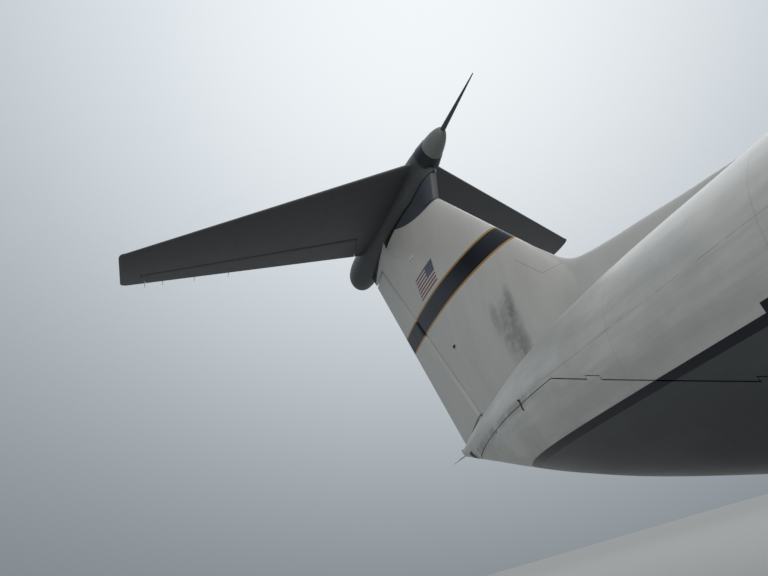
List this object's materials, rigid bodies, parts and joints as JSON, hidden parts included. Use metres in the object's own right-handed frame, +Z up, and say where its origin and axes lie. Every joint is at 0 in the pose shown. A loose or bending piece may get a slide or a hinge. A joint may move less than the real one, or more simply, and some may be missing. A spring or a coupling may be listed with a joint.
{
  "type": "four-engined military transport plane, 1:2 scale model",
  "caption": "High-winged T-tail military transport plane on its gear, at half size, with hollow hold, rear ramp, petal doors, flaps, ailerons, rudder, elevators and turning wheels.",
  "frame": {"origin": "on the ground, under the middle of the length and of the span", "axes": "+X forward along the fuselage, +Y to port, +Z up"},
  "size_m": [25.645, 24.37, 5.98],
  "materials": {
    "white_skin": "gloss",
    "belly_grey": "satin",
    "wing_grey": "satin",
    "bullet_grey": "satin",
    "radome_black": "satin",
    "glass": "polished",
    "engine_metal": "satin",
    "gear_metal": "satin",
    "tyre": "matte",
    "probe_dark": "satin",
    "interior": "matte"
  },
  "bodies": {
    "airframe": {"fuselage_aft": "white_skin", "fuselage_centre": "white_skin", "fuselage_forward": "white_skin", "fuselage_nose": "white_skin", "nose_wheel_bay": "interior", "radome": "radome_black", "windscreen": "glass", "paratroop_door_left": "white_skin", "paratroop_door_right": "white_skin", "nose_door_left": "white_skin", "nose_door_right": "white_skin", "cargo_floor": "interior", "flight_deck": "interior", "wing_left": "wing_grey", "wing_right": "wing_grey", "wing_fairing": "white_skin", "fin": "white_skin", "stabiliser": "wing_grey", "tail_bullet": "bullet_grey", "tail_probe": "probe_dark", "nacelle_1": "wing_grey", "engine_1": "engine_metal", "pylon_1": "wing_grey", "nacelle_2": "wing_grey", "engine_2": "engine_metal", "pylon_2": "wing_grey", "nacelle_3": "wing_grey", "engine_3": "engine_metal", "pylon_3": "wing_grey", "nacelle_4": "wing_grey", "engine_4": "engine_metal", "pylon_4": "wing_grey", "gear_pod_left": "belly_grey", "gear_pod_right": "belly_grey", "main_leg_left": "gear_metal", "main_leg_right": "gear_metal"},
    "flap_inboard_left": {"flap_inboard_left": "wing_grey"},
    "flap_inboard_right": {"flap_inboard_right": "wing_grey"},
    "flap_outboard_left": {"flap_outboard_left": "wing_grey"},
    "flap_outboard_right": {"flap_outboard_right": "wing_grey"},
    "aileron_left": {"aileron_left": "wing_grey"},
    "aileron_right": {"aileron_right": "wing_grey"},
    "rudder": {"rudder": "white_skin"},
    "elevator_left": {"elevator_left": "wing_grey"},
    "elevator_right": {"elevator_right": "wing_grey"},
    "petal_door_left": {"petal_door_left": "belly_grey"},
    "petal_door_right": {"petal_door_right": "belly_grey"},
    "cargo_ramp": {"cargo_ramp": "belly_grey"},
    "crew_door": {"crew_door": "white_skin"},
    "nose_leg": {"nose_leg": "gear_metal"},
    "main_wheels_front_left": {"main_wheels_front_left": "tyre"},
    "main_wheels_rear_left": {"main_wheels_rear_left": "tyre"},
    "main_wheels_front_right": {"main_wheels_front_right": "tyre"},
    "main_wheels_rear_right": {"main_wheels_rear_right": "tyre"},
    "nose_wheels": {"nose_wheels": "tyre"}
  },
  "joints": [
    {"name": "flap_inboard_left_hinge", "type": "hinge", "parent": "airframe", "child": "flap_inboard_left", "pos_m": [0.51939, 1.45, 2.35636], "axis": [0.2081, -0.9781, 0.0012], "range_deg": [0, 45]},
    {"name": "flap_inboard_right_hinge", "type": "hinge", "parent": "airframe", "child": "flap_inboard_right", "pos_m": [0.51939, -1.45, 2.35636], "axis": [-0.2081, -0.9781, -0.0012], "range_deg": [0, 45]},
    {"name": "flap_outboard_left_hinge", "type": "hinge", "parent": "airframe", "child": "flap_outboard_left", "pos_m": [-0.18467, 4.65, 2.3513], "axis": [0.3453, -0.9384, 0.0089], "range_deg": [0, 45]},
    {"name": "flap_outboard_right_hinge", "type": "hinge", "parent": "airframe", "child": "flap_outboard_right", "pos_m": [-0.18467, -4.65, 2.3513], "axis": [-0.3453, -0.9384, -0.0089], "range_deg": [0, 45]},
    {"name": "aileron_left_hinge", "type": "hinge", "parent": "airframe", "child": "aileron_left", "pos_m": [-1.64736, 8.625, 2.31321], "axis": [0.3452, -0.9384, 0.0136], "range_deg": [-25, 15]},
    {"name": "aileron_right_hinge", "type": "hinge", "parent": "airframe", "child": "aileron_right", "pos_m": [-1.64736, -8.625, 2.31321], "axis": [-0.3452, -0.9384, -0.0136], "range_deg": [-25, 15]},
    {"name": "rudder_hinge", "type": "hinge", "parent": "airframe", "child": "rudder", "pos_m": [-11.67024, 0, 5.175], "axis": [0.4541, 0, -0.8909], "range_deg": [-35, 35]},
    {"name": "elevator_left_hinge", "type": "hinge", "parent": "airframe", "child": "elevator_left", "pos_m": [-11.3826, 0.485, 5.7], "axis": [0.2546, -0.967, 0], "range_deg": [-25, 15]},
    {"name": "elevator_right_hinge", "type": "hinge", "parent": "airframe", "child": "elevator_right", "pos_m": [-11.3826, -0.485, 5.7], "axis": [-0.2546, -0.967, 0], "range_deg": [-25, 15]},
    {"name": "petal_door_left_hinge", "type": "hinge", "parent": "airframe", "child": "petal_door_left", "pos_m": [-7.4575, 0.89748, 1.75389], "axis": [0.9197, 0.0063, -0.3927], "range_deg": [0, 70]},
    {"name": "petal_door_right_hinge", "type": "hinge", "parent": "airframe", "child": "petal_door_right", "pos_m": [-7.4575, -0.89748, 1.75389], "axis": [-0.9197, 0.0063, 0.3927], "range_deg": [0, 70]},
    {"name": "cargo_ramp_hinge", "type": "hinge", "parent": "airframe", "child": "cargo_ramp", "pos_m": [-3.5785, -0.225, 0.445], "axis": [0, -1, 0], "range_deg": [0, 15]},
    {"name": "crew_door_hinge", "type": "hinge", "parent": "airframe", "child": "crew_door", "pos_m": [8.7675, 0.93642, 0.971], "axis": [-1, 0, 0], "range_deg": [0, 120]},
    {"name": "nose_steering", "type": "hinge", "parent": "airframe", "child": "nose_leg", "pos_m": [10.6675, 0, 0.2275], "axis": [0, 0, 1], "range_deg": [-60, 60]},
    {"name": "nose_wheels_spin", "type": "hinge", "parent": "nose_leg", "child": "nose_wheels", "pos_m": [10.6675, 0, 0.2275], "axis": [0, 1, 0], "continuous": true},
    {"name": "main_wheels_front_left_spin", "type": "hinge", "parent": "airframe", "child": "main_wheels_front_left", "pos_m": [0.9225, 1.335, 0.28], "axis": [0, 1, 0], "continuous": true},
    {"name": "main_wheels_rear_left_spin", "type": "hinge", "parent": "airframe", "child": "main_wheels_rear_left", "pos_m": [0.3125, 1.335, 0.28], "axis": [0, 1, 0], "continuous": true},
    {"name": "main_wheels_front_right_spin", "type": "hinge", "parent": "airframe", "child": "main_wheels_front_right", "pos_m": [0.9225, -1.335, 0.28], "axis": [0, 1, 0], "continuous": true},
    {"name": "main_wheels_rear_right_spin", "type": "hinge", "parent": "airframe", "child": "main_wheels_rear_right", "pos_m": [0.3125, -1.335, 0.28], "axis": [0, 1, 0], "continuous": true}
  ]
}
